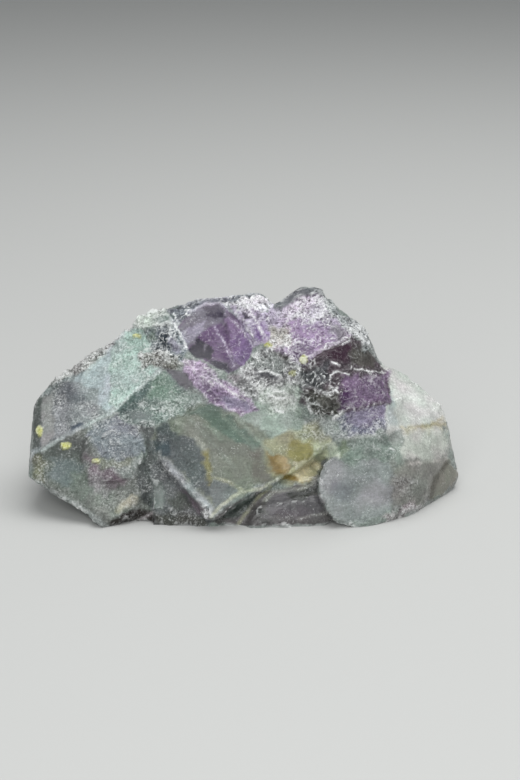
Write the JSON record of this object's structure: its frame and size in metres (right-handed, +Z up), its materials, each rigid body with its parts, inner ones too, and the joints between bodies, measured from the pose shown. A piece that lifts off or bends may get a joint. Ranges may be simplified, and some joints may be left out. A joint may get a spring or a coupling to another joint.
{
  "type": "raw fluorite",
  "caption": "Raw chunk of rainbow fluorite with flat cleavage faces, a glassy purple hollow, green and lilac bands and a flat base to rest on.",
  "frame": {"origin": "on the surface that the chunk rests on, under the middle of its box", "axes": "+Z up, +X along the length towards the pale lobe, -Y towards the big pointed cleavage face"},
  "size_m": [0.1, 0.0538, 0.0462],
  "materials": {
    "fluorite": "glassy cleavage faces, frosted and crumbly where broken"
  },
  "bodies": {
    "root": {"fluorite": "fluorite"}
  },
  "joints": []
}
